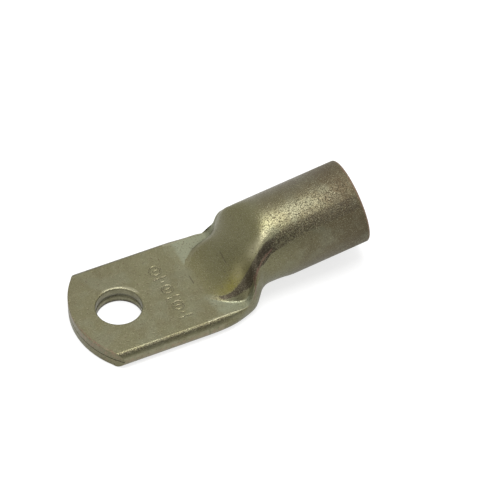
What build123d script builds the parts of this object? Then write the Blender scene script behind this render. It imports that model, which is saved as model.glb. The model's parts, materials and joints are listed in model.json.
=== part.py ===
from build123d import *
import math
import os

# A tubular cable lug in plated copper, one piece.
# A round tube is pressed flat at one end. The flat is the palm, with a bolt hole,
# and the round end is the barrel that a stripped conductor is crimped in.
# Between them is the neck: a dome that rises from the palm in a U-shaped foot,
# with a narrow flange on each side that curls up into the flank of the tube.
# Origin: centre of the bolt hole, on the underside of the palm.
# +X runs from the hole towards the barrel, +Y to the side, +Z up. Millimetres.

# Tube
tube_diameter = 16.0
wall = 1.75
tube_tilt = 7.5
tube_drop = 0.93
barrel_length = 12.9
mouth_edge_radius = 0.45
bore_edge_chamfer = 0.3

# Bore, reamed to its size, and the hollow behind it that narrows to a slit
bore_depth = 16.5
bore_shoulder = 0.2
hollow_start = 4.0
hollow_overlap = 1.0
hollow_slit = 0.2
slit_side_share = 0.3
round_side_share = 0.5

# Palm
palm_thickness = 3.4
palm_width = 22.6
palm_nose = 8.7
nose_radius = 15.7
nose_edge_radius = 0.2
fold_bulge = 0.15
bolt_hole_diameter = 8.4
hole_rim_radius = 0.35

# Groove where the two walls of the tube meet in the palm
seam_width = 0.16
seam_depth = 0.3

# Neck, with the lengths from its start to where each feature of it starts and ends
neck_start = 12.0
neck_length = 21.5
foot_from = 2.2
foot_to = 9.6
tuck_from = 3.5
tuck_to = 10.6
middle_from = 4.4
middle_to = 15.0
dome_steep_at = 6.0
curl_from = 8.6
crease_from = 9.5
slide_from = 11.8
round_to = 13.0
flange_to = 13.0
flank_to = 13.5
tube_to = 15.8
crown_to = 17.0

# How suddenly the lines of the neck turn between those lengths, and how late
crown_sharpness = 2.15
crown_delay = 1.1
keel_sharpness = 1.5
lift_sharpness = 2.8
width_sharpness = 1.15
width_delay = 2.45

# Dome and flange
foot_nose_half_width = 1.5
foot_half_width = 8.2
foot_squareness = 1.8
foot_fillet = 0.5
foot_run = 0.6
foot_run_least = 0.18
foot_rise_share = 0.3
dome_slope = 70.0
dome_setback = 0.6
nose_setback = 1.6
dome_fullness = 0.75
tucked_inset = 0.05
flange_lip = 0.12
keel_rounding = 1.5

# Angles round the tube, from the horizontal, where the faces of the neck run out.
# The crease slides up from its low angle on the flank of the neck.
lower_corner_angle = -52.0
crease_low_angle = 15.0
crease_angle = 30.0
crease_step = 9.0

# Number of sections in the neck and in its hollow
neck_sections = 30
hollow_sections = 10

tube_radius = tube_diameter / 2
bore_radius = tube_radius - wall
tilt = math.radians(tube_tilt)
neck_end = neck_start + neck_length
mouth_station = neck_end + barrel_length * math.cos(tilt)
hollow_end = mouth_station - (bore_depth - hollow_overlap) * math.cos(tilt)
fold_height = palm_thickness / 2
fold_radius = fold_height + fold_bulge
fold_inset = fold_radius - math.sqrt(fold_radius ** 2 - fold_height ** 2)
fold_turn = math.degrees(math.asin(fold_height / fold_radius))
hole_radius = bolt_hole_diameter / 2
through_all = 3 * palm_thickness
tiny = 1e-3


def mix(a, b, share):
    """Goes from a to b as the share goes from 0 to 1."""
    return a * (1 - share) + b * share


def ease(x, start, end, sharpness=2.0, delay=1.0):
    """Goes smoothly from 0 to 1 between two lengths along the neck."""
    part = (x - neck_start - start) / (end - start)
    part = min(max(part, 0.0), 1.0) ** delay
    return part ** sharpness / (part ** sharpness + (1 - part) ** sharpness)


def axis_height(x):
    """Height of the tilted tube axis above the palm's underside."""
    return tube_radius - tube_drop + (x - neck_start - crease_from) * math.tan(tilt)


def crown_height(x):
    """Height of the top of the palm, the dome and the tube, on the centre line."""
    rise = ease(x, foot_from, crown_to, crown_sharpness, crown_delay)
    return mix(palm_thickness, axis_height(x) + tube_radius, rise)


def keel_height(x):
    """Height of the underside on the centre line: flat, then up along the tube."""
    line = axis_height(x) - tube_radius
    rounding = keel_rounding * (1 - ease(x, tube_to, neck_length))
    soft = (line + math.hypot(line, rounding)) / 2
    return soft * ease(x, curl_from, round_to, keel_sharpness)


def half_width(x):
    """Half the greatest width, which goes from the palm's to the tube's."""
    narrowing = ease(x, 0, round_to, width_sharpness, width_delay)
    return mix(palm_width / 2, tube_radius, narrowing)


def foot_line(x):
    """Half width of the U that the dome stands in, seen from above."""
    part = (x - neck_start - foot_from) / (foot_to - foot_from)
    part = min(max(part, 0.0), 1.0)
    share = (1 - (1 - part) ** foot_squareness) ** (1 / foot_squareness)
    return mix(foot_nose_half_width, foot_half_width, share)


def travel(flat, tube, inward, upward, turned):
    """A corner of a section on its way from its place on the palm to its place on the tube."""
    y = mix(flat[0], tube[0], inward)
    z = mix(flat[1], tube[1], upward)
    return y, z, mix(flat[2], tube[2], turned), mix(flat[3], tube[3], turned)


def corners(x):
    """Corners of half a section, from the keel round to the crown.

    Each is y, z, and the directions in which the outline arrives and leaves, in
    degrees from +Y. On the palm they are corners of the flat strip, on the neck
    they carry the fold, the flange and the foot of the dome, and on the tube they
    lie on its circle.
    """
    width = half_width(x)
    low = keel_height(x)
    top = crown_height(x)
    middle = mix(fold_height, axis_height(x), ease(x, middle_from, middle_to, lift_sharpness))

    def on_tube(angle, centre, radius):
        y = width * math.cos(math.radians(angle))
        return y, centre + radius * math.sin(math.radians(angle)), 90 + angle, 90 + angle

    def crease(steps):
        slid = mix(crease_low_angle, crease_angle, ease(x, slide_from, tube_to))
        return on_tube(slid + steps * crease_step, axis_height(x), tube_radius)

    share = ease(x, crease_from, tube_to, lift_sharpness)
    lower = travel((width - fold_inset, 0.0, 0.0, 90 - fold_turn),
                   on_tube(lower_corner_angle, middle, middle - low), share, share, share)

    inset = mix(fold_inset, tucked_inset, ease(x, tuck_from, tuck_to))
    arris = travel((width - inset, palm_thickness, 90 + fold_turn, 180.0), crease(0),
                   ease(x, crease_from, flange_to), ease(x, curl_from, flange_to),
                   ease(x, crease_from, round_to))

    share = ease(x, crease_from, flank_to)
    edge = min(foot_line(x) + foot_fillet, arris[0] - flange_lip)
    flange = travel((edge, arris[1], 180.0, 180.0), crease(1), share, share, share)

    steep = ease(x, foot_from, dome_steep_at)
    height = top - arris[1]
    setback = height / math.tan(math.radians(dome_slope)) + mix(nose_setback, dome_setback, steep)
    slope = math.degrees(math.atan2(height, setback))
    run = min(max(2 * foot_run * steep, foot_run_least), foot_run)
    rise = min(foot_fillet * math.tan(math.radians(slope / 2)), foot_rise_share * height)
    foot = travel((flange[0] - run, arris[1] + rise, 180 - slope, 180 - slope), crease(2),
                  share, share, share)

    keel = (0.0, low, 0.0, 0.0)
    side = (width, middle, 90.0, 90.0)
    crown = (0.0, top, 180.0, 180.0)
    return [keel, lower, side, arris, flange, foot, crown]


def arc_points(start, end):
    """Control points of the curve between two corners, with handles as long as an arc's."""
    chord = math.hypot(end[0] - start[0], end[1] - start[1])
    leaving = math.radians(start[3])
    arriving = math.radians(end[2])
    reach = chord / (3 * math.cos((arriving - leaving) / 4) ** 2)
    first = (start[0] + reach * math.cos(leaving), start[1] + reach * math.sin(leaving))
    second = (end[0] - reach * math.cos(arriving), end[1] - reach * math.sin(arriving))
    return [start[:2], first, second, end[:2]]


def dome_points(foot, crown, fullness):
    """Control points of the flank and top of the dome.

    The handles lie on the straight flank and on the level top, and stop at this
    share of the way to the corner where those two lines meet.
    """
    flank = math.tan(math.radians(foot[3]))
    corner = (foot[0] + (crown[1] - foot[1]) / flank, crown[1])
    handles = [(mix(end[0], corner[0], fullness), mix(end[1], corner[1], fullness)) for end in (foot, crown)]
    return [foot[:2], *handles, crown[:2]]


def outline(x, arcs, lean=1.0):
    """Closed face in the upright plane at station x, alike on both sides of the centre line."""
    centre = axis_height(x)
    edges = []
    for side in (1, -1):
        for points in arcs:
            curve = [(x, side * y, centre + (z - centre) * lean) for y, z in points]
            edges.append(Edge.make_bezier(*curve))
    return Face(Wire(edges))


def section(x):
    """Outline of the lug at station x. On the tube it is an upright cut through a tilted circle."""
    half = corners(x)
    turn = math.radians(90 - crease_angle - 2 * crease_step)
    tube_fullness = 4 / 3 * math.tan(turn / 4) / math.tan(turn / 2)
    fullness = mix(dome_fullness, tube_fullness, ease(x, crease_from, tube_to))
    arcs = [arc_points(start, end) for start, end in zip(half[:-2], half[1:-1])]
    arcs.append(dome_points(half[-2], half[-1], fullness))
    return outline(x, arcs, mix(1.0, 1 / math.cos(tilt), ease(x, foot_from, tube_to)))


def inner_crown(x):
    """Height of the inner face of the top wall, one wall thickness in from the crown."""
    station = x
    for _ in range(30):
        rise = crown_height(station + tiny) - crown_height(station - tiny)
        slope = math.atan2(rise, 2 * tiny)
        station = (station + x - wall * math.sin(slope)) / 2
    return crown_height(station) - wall * math.cos(slope)


def hollow_section(x):
    """Lens-shaped outline of the hollow in the neck at station x."""
    opening = ease(x, dome_steep_at, flange_to)
    radius = bore_radius - bore_shoulder
    width = mix(foot_line(x) - wall, radius, opening)
    low = mix(fold_height, keel_height(x) + wall, opening)
    low = max(low, axis_height(x) - radius)
    top = max(inner_crown(x) - bore_shoulder, low + hollow_slit)
    middle = mix(low, top, mix(slit_side_share, round_side_share, opening))
    side = (width, middle, 90.0, 90.0)
    floor = arc_points((0.0, low, 0.0, 0.0), side)
    roof = arc_points(side, (0.0, top, 180.0, 180.0))
    return outline(x, [floor, roof])


def build_neck():
    """Solid through evenly spaced sections, from the end of the palm to the round tube."""
    steps = [i / (neck_sections - 1) for i in range(neck_sections)]
    return loft([section(neck_start + neck_length * step) for step in steps])


def build_hollow():
    """Space between the walls behind the bore, where the tube closes down to a slit."""
    start = neck_start + hollow_start
    steps = [i / (hollow_sections - 1) for i in range(hollow_sections)]
    return loft([hollow_section(mix(start, hollow_end, step)) for step in steps])


def build_palm(neck):
    """Flat strip drawn out from the neck's first section, cut to a shallow arc in front."""
    start = neck.faces().sort_by(Axis.X)[0]
    strip = extrude(start, neck_start + 2 * palm_nose, dir=(-1, 0, 0))
    behind = Pos(neck_length / 2, 0) * Rectangle(neck_length, 2 * nose_radius)
    plan = Pos(nose_radius - palm_nose, 0) * (Circle(nose_radius) + behind)
    return strip & extrude(plan, through_all, both=True)


def mouth_plane():
    """Plane of the tube's open end, square to its axis and facing out of it."""
    centre = (mouth_station, 0, axis_height(mouth_station))
    return Plane(origin=centre, x_dir=(0, 1, 0), z_dir=(math.cos(tilt), 0, math.sin(tilt)))


def build_barrel(neck):
    """Round end of the tube, drawn out from the neck's last section along the tube's axis."""
    start = neck.faces().sort_by(Axis.X)[-1]
    rod = extrude(start, 2 * barrel_length, dir=mouth_plane().z_dir)
    size = 4 * tube_diameter
    return rod - extrude(mouth_plane() * Rectangle(size, size), 2 * barrel_length)


def join(pieces, stations):
    """One solid from pieces that meet face to face in the upright planes at the stations."""
    skin = []
    for piece in pieces:
        for face in piece.faces():
            upright = face.geom_type == GeomType.PLANE and face.bounding_box().size.X < tiny
            if not upright or all(abs(face.center().X - x) > tiny for x in stations):
                skin.append(face)
    return Solid(Shell(skin))


def groove_ring(radius, depth, sweep):
    """V-shaped ring at mid height that cuts a wall of this radius, inwards if depth is negative."""
    mouth = radius - depth
    half = seam_width
    corners_of_v = [(mouth, fold_height - half), (radius + depth, fold_height), (mouth, fold_height + half)]
    profile = make_face(Plane.XZ * Polyline(*corners_of_v, close=True))
    return revolve(Rot(0, 0, 180 - sweep / 2) * profile, Axis.Z, sweep)


def build_seam():
    """Groove along the cut front, up to the folds, and round the bolt hole."""
    reach = palm_width / 2 - fold_radius
    sweep = 2 * math.degrees(math.asin(reach / nose_radius))
    front = groove_ring(nose_radius, -seam_depth, sweep)
    return Pos(nose_radius - palm_nose, 0, 0) * front + groove_ring(hole_radius, seam_depth, 360)


def circles(body, height_of, height):
    """Round edges of the body that lie at this height, as height_of measures it."""
    edges = body.edges().filter_by(GeomType.CIRCLE)
    return [edge for edge in edges if abs(height_of(edge @ 0.5) - height) < tiny]


def build_lug():
    neck = build_neck()
    body = join([build_palm(neck), neck, build_barrel(neck)], [neck_start, neck_end])
    beyond_mouth = mouth_plane().to_local_coords
    rim = [edge for edge in body.edges() if abs(beyond_mouth(edge @ 0.5).Z) < tiny]
    body = fillet(rim, mouth_edge_radius)

    bore = extrude(mouth_plane() * Circle(bore_radius), -bore_depth)
    bolt_hole = Pos(0, 0, fold_height) * Cylinder(hole_radius, through_all)
    body = body - build_hollow() - bore - bolt_hole

    body = chamfer(circles(body, lambda point: beyond_mouth(point).Z, 0), bore_edge_chamfer)
    for edge in circles(body, lambda point: point.Z, palm_thickness):
        is_hole = abs(edge.radius - hole_radius) < tiny
        body = fillet(edge, hole_rim_radius if is_hole else nose_edge_radius)
    return body - build_seam()


cable_lug = build_lug()
os.makedirs("parts", exist_ok=True)
export_step(cable_lug, "parts/cable_lug.step")
print("volume", round(cable_lug.volume), "cubic millimetres")
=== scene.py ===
import json
import math
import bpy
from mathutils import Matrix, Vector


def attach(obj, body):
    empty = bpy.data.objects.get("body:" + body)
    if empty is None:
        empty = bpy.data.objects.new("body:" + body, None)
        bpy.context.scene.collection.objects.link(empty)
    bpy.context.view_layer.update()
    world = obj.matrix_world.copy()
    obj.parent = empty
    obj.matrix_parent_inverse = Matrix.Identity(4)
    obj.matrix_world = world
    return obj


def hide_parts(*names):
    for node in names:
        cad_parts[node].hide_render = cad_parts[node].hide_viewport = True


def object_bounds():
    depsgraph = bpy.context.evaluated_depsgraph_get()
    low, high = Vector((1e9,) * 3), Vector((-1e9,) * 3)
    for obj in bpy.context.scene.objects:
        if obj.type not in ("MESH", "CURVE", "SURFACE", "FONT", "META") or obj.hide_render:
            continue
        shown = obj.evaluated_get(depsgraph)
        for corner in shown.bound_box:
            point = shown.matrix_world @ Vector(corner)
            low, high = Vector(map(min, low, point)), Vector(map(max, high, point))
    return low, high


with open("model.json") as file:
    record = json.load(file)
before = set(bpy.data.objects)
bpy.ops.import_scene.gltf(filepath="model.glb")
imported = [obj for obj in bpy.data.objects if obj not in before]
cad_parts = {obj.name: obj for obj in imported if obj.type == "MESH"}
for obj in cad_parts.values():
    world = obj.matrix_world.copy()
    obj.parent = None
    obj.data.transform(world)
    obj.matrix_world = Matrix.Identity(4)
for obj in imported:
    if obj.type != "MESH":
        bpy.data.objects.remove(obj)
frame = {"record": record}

from types import SimpleNamespace

import bmesh
import bpy
import numpy as np
from bpy.props import FloatProperty, FloatVectorProperty, PointerProperty
from mathutils import Matrix, Vector

bl_info = {
    "name": "Tubular cable lug",
    "version": (1, 0, 0),
    "blender": (4, 5, 0),
    "location": "View3D > Sidebar > Cable lug",
    "description": "Builds a plated cable lug with its flat palm, domed neck and round barrel",
    "category": "Object",
}

NODE = "cable_lug"
BODY = "root"
CAD_BOX = [list(corner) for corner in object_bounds()]
MOUNTS = {mount["name"]: mount for mount in frame["record"]["mounts"]}
MILLIMETRE = 0.001
QUARTER_TURN = math.pi / 2

# Lowest height of the skin in millimetres, just inside the CAD box
LOWEST = CAD_BOX[0][2] / MILLIMETRE + 0.001
# Points closer than this are one point, in metres
MERGE_DISTANCE = 0.0000002

# Neck, in millimetres from its start to where each feature of it starts and ends
NECK_START = 12.0
NECK_LENGTH = 21.5
FOOT_FROM, FOOT_TO = 2.2, 9.6
TUCK_FROM, TUCK_TO = 3.5, 10.6
MIDDLE_FROM, MIDDLE_TO = 4.4, 15.0
DOME_STEEP_AT = 6.0
CURL_FROM = 8.6
CREASE_FROM = 9.5
FLANGE_TO = 13.0
ROUND_TO = 13.0
SLIDE_FROM = 11.8
FLANK_TO = 13.5
TUBE_TO = 15.8
CROWN_TO = 17.0

# How suddenly the lines of the neck turn between those lengths, and how late
CROWN_SHARPNESS, CROWN_DELAY = 2.15, 1.1
KEEL_SHARPNESS, LIFT_SHARPNESS = 1.5, 2.8
WIDTH_SHARPNESS, WIDTH_DELAY = 1.15, 2.45

# Dome and flange, in millimetres and degrees
FOOT_NOSE_HALF_WIDTH, FOOT_HALF_WIDTH = 1.5, 8.2
FOOT_SQUARENESS = 1.8
FOOT_FILLET, FOOT_RUN, FOOT_RUN_LEAST = 0.5, 0.6, 0.18
FOOT_RISE_SHARE = 0.3
DOME_SLOPE = 70.0
DOME_SETBACK, NOSE_SETBACK = 0.6, 1.6
DOME_FULLNESS, TUBE_FULLNESS = 0.75, 0.644
FOLD_BULGE = 0.15
TUCKED_INSET = 0.05
FLANGE_LIP = 0.12
KEEL_ROUNDING = 1.5
LOWER_CORNER_ANGLE = -52.0
CREASE_LOW_ANGLE, CREASE_ANGLE, CREASE_STEP = 15.0, 30.0, 9.0

# Mouth, and the hollow behind the bore, in millimetres
EDGE_SOFTNESS = 0.06
HOLLOW_START = 4.0
HOLLOW_GAP = 1.0
HOLLOW_SLIT = 0.2
SHOULDER = 0.2
SLIT_SIDE_SHARE, ROUND_SIDE_SHARE = 0.3, 0.5
ROOF_PASSES, SLOPE_STEP = 30, 0.001

# Number of grid points on each arc of half a section, from the keel to the crown
ARC_POINTS = (14, 18, 18, 22, 8, 26)
DOME_ARC = 5
ARRIS, FLANGE_EDGE, FOOT = sum(ARC_POINTS[:3]), sum(ARC_POINTS[:4]), sum(ARC_POINTS[:5])
# Where the sharp bends of a section are averaged: the point, how far on each side, how often
SOFTENED = ((ARRIS, 4, 4), (FLANGE_EDGE, 3, 3), (FOOT, 3, 3))
# Points of a section on the flats that belong to the palm's rounded long edge, and their reach
TOP_LIP, BOTTOM_LIP, LIP_REACH = 5, 4, 0.5

# Rows of the tube's grid: their distance on the neck, then their numbers
STATION_STEP = 0.135
CALM_ROWS, BARREL_ROWS, MOUTH_ROWS, BORE_ROWS, HOLLOW_ROWS = 15, 24, 9, 9, 18
# Rays of the palm's grid along the join to the neck, each long side and the front
JOIN_STATION, JOIN_GAP = 12.9, 0.1
JOIN_RAYS, SIDE_RAYS, FRONT_RAYS = 231, 46, 118
# Steps of each ray over the hole's rim, the top and the underside, and round the front's edges
RIM_STEPS, TOP_STEPS, UNDERSIDE_STEPS, ROUNDING_STEPS = 8, 52, 7, 7
# How far the points crowd to the front corners, to the palm's edge and to the groove in the front
CORNER_CROWDING, EDGE_CROWDING, GROOVE_CROWDING = 0.85, 0.9, 2.6
# Front corners: share by which the flats' rows stand back, and where the cut turns into the fold
CORNER_SETBACK = 0.8
CORNER_FROM, CORNER_RUN = 1.1, 0.9
# Bolt hole: chamfer of its lower edge, half width of the groove's floor, and the height above the
# groove of the last ring under the rim
HOLE_CHAMFER, GROOVE_FLAT, RING_UNDER_RIM = 0.12, 0.02, 0.6

# Punched row: its centre as x and y, its lean in degrees, and by their place along it the rings,
# with their radius and the half length of the bar inside, the dots, and the broken bars
ROW_CENTRE, ROW_LEAN = (9.6, -0.9), -3.2
RINGS = ((5.9, 1.05, 0.35), (0.9, 0.95, 0.3), (-3.4, 1.0, 0.3))
DOTS, DOT_HALF = (2.9, -5.3), 0.2
BROKEN_BARS, BAR_HALF, BAR_SHIFT = (3.9, -1.2, -6.3), 0.4, 0.75
STROKE_CORE, STROKE_FADE = 0.35, 0.9

# Painted shade down the dome's near flank and along the barrel, the room's dark reflection in a
# brown tone: at these stations, where it starts and ends across the skin, in grid points from the
# crown
SHADE_AT = (16.0, 17.4, 19.4, 20.8, 22.0, 23.0, 24.5, 26.0, 27.4, 29.0, 31.5, 34.0)
SHADE_FROM = (17.0, 17.0, 17.0, 16.6, 16.8, 17.4, 21.0, 23.8, 25.9, 23.4, 21.2, 20.8)
SHADE_TO = (24.0, 24.0, 22.0, 22.0, 23.4, 29.5, 45.0, 56.0, 55.0, 48.0, 41.0, 38.0)
# Red crease between the flange and the tube: a line in the side view, as x and z, and its width
CREASE_LINE = ((22.4, 4.3), (22.9, 5.1), (22.95, 6.7), (23.0, 7.7), (23.3, 8.8), (23.8, 9.9),
               (25.0, 11.0), (25.9, 11.7), (27.2, 12.4))
CREASE_WIDTH = 0.17
# Scratches on the dome and on the palm: both ends in metres, and their width
SCRATCHES = (((0.02070, 0.00147, 0.00688), (0.02060, -0.00123, 0.00673)),
             ((0.01445, 0.00137, 0.00340), (0.01445, -0.00068, 0.00340)))
SCRATCH_WIDTH = 0.00014

# Fades of the colour zones on the neck and barrel: what is measured, where the fade starts and
# how far it runs, out where the run is negative. Station, across and height are in millimetres,
# crown and shade in grid points from the crown and from the upper edge of the painted shade.
ZONES = {
    "near": (("across", -2.0, -4.0),),
    "fold": (("station", 15.0, -4.0),),
    "worn_and_sheen": (("station", 20.6, -2.0),),
    "film_and_shade": (("film_and_shade", -1.2, 3.0), ("station", 16.2, 2.0)),
    "gold": (("station", 16.0, 4.0), ("station", 20.2, -5.0)),
    "dome": (("film_and_shade", -2.0, -4.0), ("station", 14.6, 1.8), ("station", 25.5, -3.5)),
    "pale_film_and_sheen": (("crown", 27.0, 4.0), ("crown", 55.0, -5.0), ("station", 21.6, -2.6),
             ("station", 13.0, 4.0)),
    "crest_highlight": (("station", 26.4, -2.0),),
    "brown": (("across", -2.5, 3.5), ("height", 6.0, 5.0), ("station", 25.0, 5.0)),
    "crease": (("across", -6.8, -0.6),),
}
MASKS = ("worn_and_sheen", "bare", "gap", "film_and_shade", "gold", "dome", "pale_film_and_sheen", "crease", "crest_highlight", "brown")
# Rows of the mouth that are bare copper, and the way to the side of the bolt hole's rim that
# takes a painted highlight
RIM_ROWS = 13
RIM_HIGHLIGHT_WAY = (0.42, 0.90)
# How strongly the folded long sides show painted shade under the arris, a painted floor reflection
# on their lower half, and copper
FOLD_SHADE, FOLD_SHEEN, FOLD_BARE = 0.46, 0.55, 0.42

# Studio: half the floor's width, its drop below the lug and the lamp's place from the lug's
# middle, in metres, and the point that the camera looks at
FLOOR_REACH, FLOOR_DROP = 6.0, 0.00002
OVERHEAD = (0.02, -0.045, 0.56)
AIM = (0.02844, 0.00519, 0.0)
# Direction and half angles in degrees of the dark part of the room
DARK_AZIMUTH, DARK_ELEVATION, DARK_CORE, DARK_EDGE = 10, 40, 12, 42
# Floor: its grey, and how far camera rays and mirror rays see it lifted
FLOOR_GREY, FLOOR_LIFT, FLOOR_MIRRORED = 0.34, 0.73, 0.48


def length(name, description, default):
    """A size in metres with its own entry in the sidebar."""
    return FloatProperty(name=name, description=description, default=default, min=0.0,
                         precision=5, unit="LENGTH")


def angle(name, description, degrees):
    """An angle with its own entry in the sidebar."""
    return FloatProperty(name=name, description=description, default=math.radians(degrees),
                         subtype="ANGLE", unit="ROTATION")


def colour(name, description, default):
    """A linear colour with its own entry in the sidebar."""
    return FloatVectorProperty(name=name, description=description, default=default, size=3,
                               min=0.0, max=1.0, subtype="COLOR")


def amount(name, description, default, most=1.0):
    """A plain number with its own entry in the sidebar."""
    return FloatProperty(name=name, description=description, default=default, min=0.0, max=most,
                         subtype="FACTOR")


class LugSizes(bpy.types.PropertyGroup):
    tube_diameter: length("Tube diameter", "Outside diameter of the barrel", 0.016)
    bore_radius: length("Bore radius", "Radius of the bore for the conductor",
                        MOUNTS["conductor_bore"]["dims"]["r_mm"] * MILLIMETRE)
    wall: length("Wall", "Thickness of the tube's wall", 0.00175)
    tube_drop: length("Tube drop", "How far the barrel's lower line, drawn on to the neck, lies "
                      "under the palm's underside", 0.00093)
    tube_tilt: angle("Tube tilt", "Rise of the barrel from the palm", 7.5)
    barrel_length: length("Barrel length", "Length of the round tube beyond the neck", 0.0129)
    bore_depth: length("Bore depth", "Depth of the bore from the mouth", 0.0165)
    mouth_rounding: length("Mouth rounding", "Radius of the outer edge of the mouth", 0.00045)
    bore_chamfer: length("Bore chamfer", "Chamfer on the inner edge of the mouth", 0.0003)
    palm_thickness: length("Palm thickness", "Height of the two pressed walls", 0.0034)
    palm_width: length("Palm width", "Width over the folded long sides", 0.0226)
    palm_nose: length("Palm nose", "From the centre of the hole to the front edge", 0.0087)
    nose_radius: length("Nose radius", "Radius of the arc of the front edge", 0.0157)
    nose_rounding: length("Nose rounding", "Radius of the edges of the cut front", 0.00018)
    hole_radius: length("Hole radius", "Radius of the bolt hole",
                        MOUNTS["bolt_hole"]["dims"]["r_mm"] * MILLIMETRE)
    hole_rim: length("Hole rim", "Radius of the hole's upper edge", 0.00035)
    seam_width: length("Seam width", "Half width of the groove between the walls", 0.00009)
    seam_depth: length("Seam depth", "Depth of the groove between the walls", 0.00025)
    mark_depth: length("Mark depth", "Depth of the punched row across the palm", 0.00007)
    mark_stroke: length("Mark stroke", "Width of a punched line", 0.00034)


class LugColours(bpy.types.PropertyGroup):
    plating: colour("Plating", "Dull tin over copper", (0.189, 0.179, 0.099))
    # Also the colour of painted sheen: the floor's reflection on the folded sides, the hole's far
    # rim
    bright: colour("Bright plating", "Tin where it is rubbed, and painted sheen", (0.300, 0.285, 0.190))
    # Painted highlight along the dome's ridge, on the near side
    painted_highlight: colour("Painted highlight", "Painted highlight along the dome's crest", (0.460, 0.430, 0.280))
    tarnish: colour("Tarnish", "Brown film on the tin", (0.105, 0.082, 0.048))
    golden: colour("Golden film", "Thin golden film on the dome", (0.142, 0.132, 0.060))
    patina: colour("Patina", "Yellow green film low on the dome", (0.285, 0.240, 0.022))
    # Also painted on the flange's far side as a bright reflection
    flange: colour("Flange", "Pale grey green film on the flange, painted brighter on its far side", (0.258, 0.275, 0.195))
    # Painted shade down the dome's near flank and under the folds' arris; also dark scratches
    film_and_shade: colour("Shade and scratches", "Painted shade in the dome's flank and on the folded sides, and scratches", (0.056, 0.042, 0.031))
    crease: colour("Crease", "Red oxide in the crease", (0.185, 0.115, 0.084))
    copper: colour("Copper", "Bare copper on worn and cut edges", (0.330, 0.205, 0.145))
    gap: colour("Gap", "Dirt in the joint between the walls", (0.018, 0.014, 0.010))
    roughness: amount("Roughness", "Roughness of the plating", 0.34)


class StudioSettings(bpy.types.PropertyGroup):
    view_azimuth: angle("View azimuth", "Turn of the camera round the lug from -Y", -25.05)
    view_elevation: angle("View elevation", "Angle of the camera above the floor", 47.64)
    view_distance: length("View distance", "From the camera to the point it looks at", 0.58)
    lens: FloatProperty(name="Lens", description="Focal length on a 36 mm sensor in millimetres",
                        default=226.9, unit="CAMERA")
    sky: amount("Sky", "Brightness of the studio round the object", 0.92, 4.0)
    dark_wall: amount("Dark wall", "Brightness of the room behind the camera", 0.22, 4.0)
    softbox: amount("Softbox", "Brightness of the panel overhead", 8.2, 20.0)
    softbox_size: length("Softbox size", "Width of the panel overhead", 0.34)


def in_millimetres(props):
    """The sizes as plain numbers in millimetres, with the ones that follow from them."""
    lengths = [key for key in props.__annotations__ if key != "tube_tilt"]
    size = SimpleNamespace(**{key: getattr(props, key) / MILLIMETRE for key in lengths})
    size.tilt = props.tube_tilt
    size.tube_radius = size.tube_diameter / 2
    size.fold_height = size.palm_thickness / 2
    size.fold_radius = size.fold_height + FOLD_BULGE
    size.fold_inset = size.fold_radius - math.sqrt(size.fold_radius ** 2 - size.fold_height ** 2)
    size.fold_turn = math.asin(size.fold_height / size.fold_radius)
    size.neck_end = NECK_START + NECK_LENGTH
    size.mouth_station = size.neck_end + size.barrel_length * math.cos(size.tilt)
    return size


def mix(a, b, share):
    """Goes from a to b as the share goes from 0 to 1."""
    return a * (1 - share) + b * share


def smooth(share):
    """Eases a share at both ends: 3 s squared less 2 s cubed."""
    share = np.clip(share, 0.0, 1.0)
    return share * share * (3 - 2 * share)


def fade(values, start, run):
    """Eased from 0 to 1 over the run from the start, or from 1 to 0 where the run is negative."""
    share = smooth((values - start) / abs(run))
    return share if run > 0 else 1 - share


def hump(values, centre, width):
    """A bell: e to the power of minus the square of the distance from the centre in widths."""
    return np.exp(-((values - centre) / width) ** 2)


def joined(*parts):
    """One array whose last axis holds these parts, each spread to the same shape."""
    return np.stack(np.broadcast_arrays(*parts), axis=-1)


def inner(count):
    """This many evenly spaced shares between 0 and 1, without those two."""
    return np.linspace(0, 1, count + 2)[1:-1]


def ease(x, start, end, sharpness=2.0, delay=1.0):
    """From 0 to 1 between two lengths of the neck: p^s / (p^s + (1 - p)^s), p to the delay."""
    part = np.clip((x - NECK_START - start) / (end - start), 0.0, 1.0) ** delay
    return part ** sharpness / (part ** sharpness + (1 - part) ** sharpness)


def axis_height(x, size):
    """Height of the tilted tube axis above the palm's underside, a straight line."""
    rise = (x - NECK_START - CREASE_FROM) * math.tan(size.tilt)
    return size.tube_radius - size.tube_drop + rise


def crown_height(x, size):
    """Height of the top on the centre line, eased from the palm to the tube."""
    rise = ease(x, FOOT_FROM, CROWN_TO, CROWN_SHARPNESS, CROWN_DELAY)
    return mix(size.palm_thickness, axis_height(x, size) + size.tube_radius, rise)


def keel_height(x, size):
    """Height of the underside on the centre line: the larger of 0 and the tube's line, rounded."""
    line = axis_height(x, size) - size.tube_radius
    rounding = KEEL_ROUNDING * (1 - ease(x, TUBE_TO, NECK_LENGTH))
    soft = (line + np.hypot(line, rounding)) / 2
    return soft * ease(x, CURL_FROM, ROUND_TO, KEEL_SHARPNESS)


def foot_line(x):
    """Half width of the U that the dome stands in: a superellipse in the length of the neck."""
    part = np.clip((x - NECK_START - FOOT_FROM) / (FOOT_TO - FOOT_FROM), 0.0, 1.0)
    share = (1 - (1 - part) ** FOOT_SQUARENESS) ** (1 / FOOT_SQUARENESS)
    return mix(FOOT_NOSE_HALF_WIDTH, FOOT_HALF_WIDTH, share)


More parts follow.
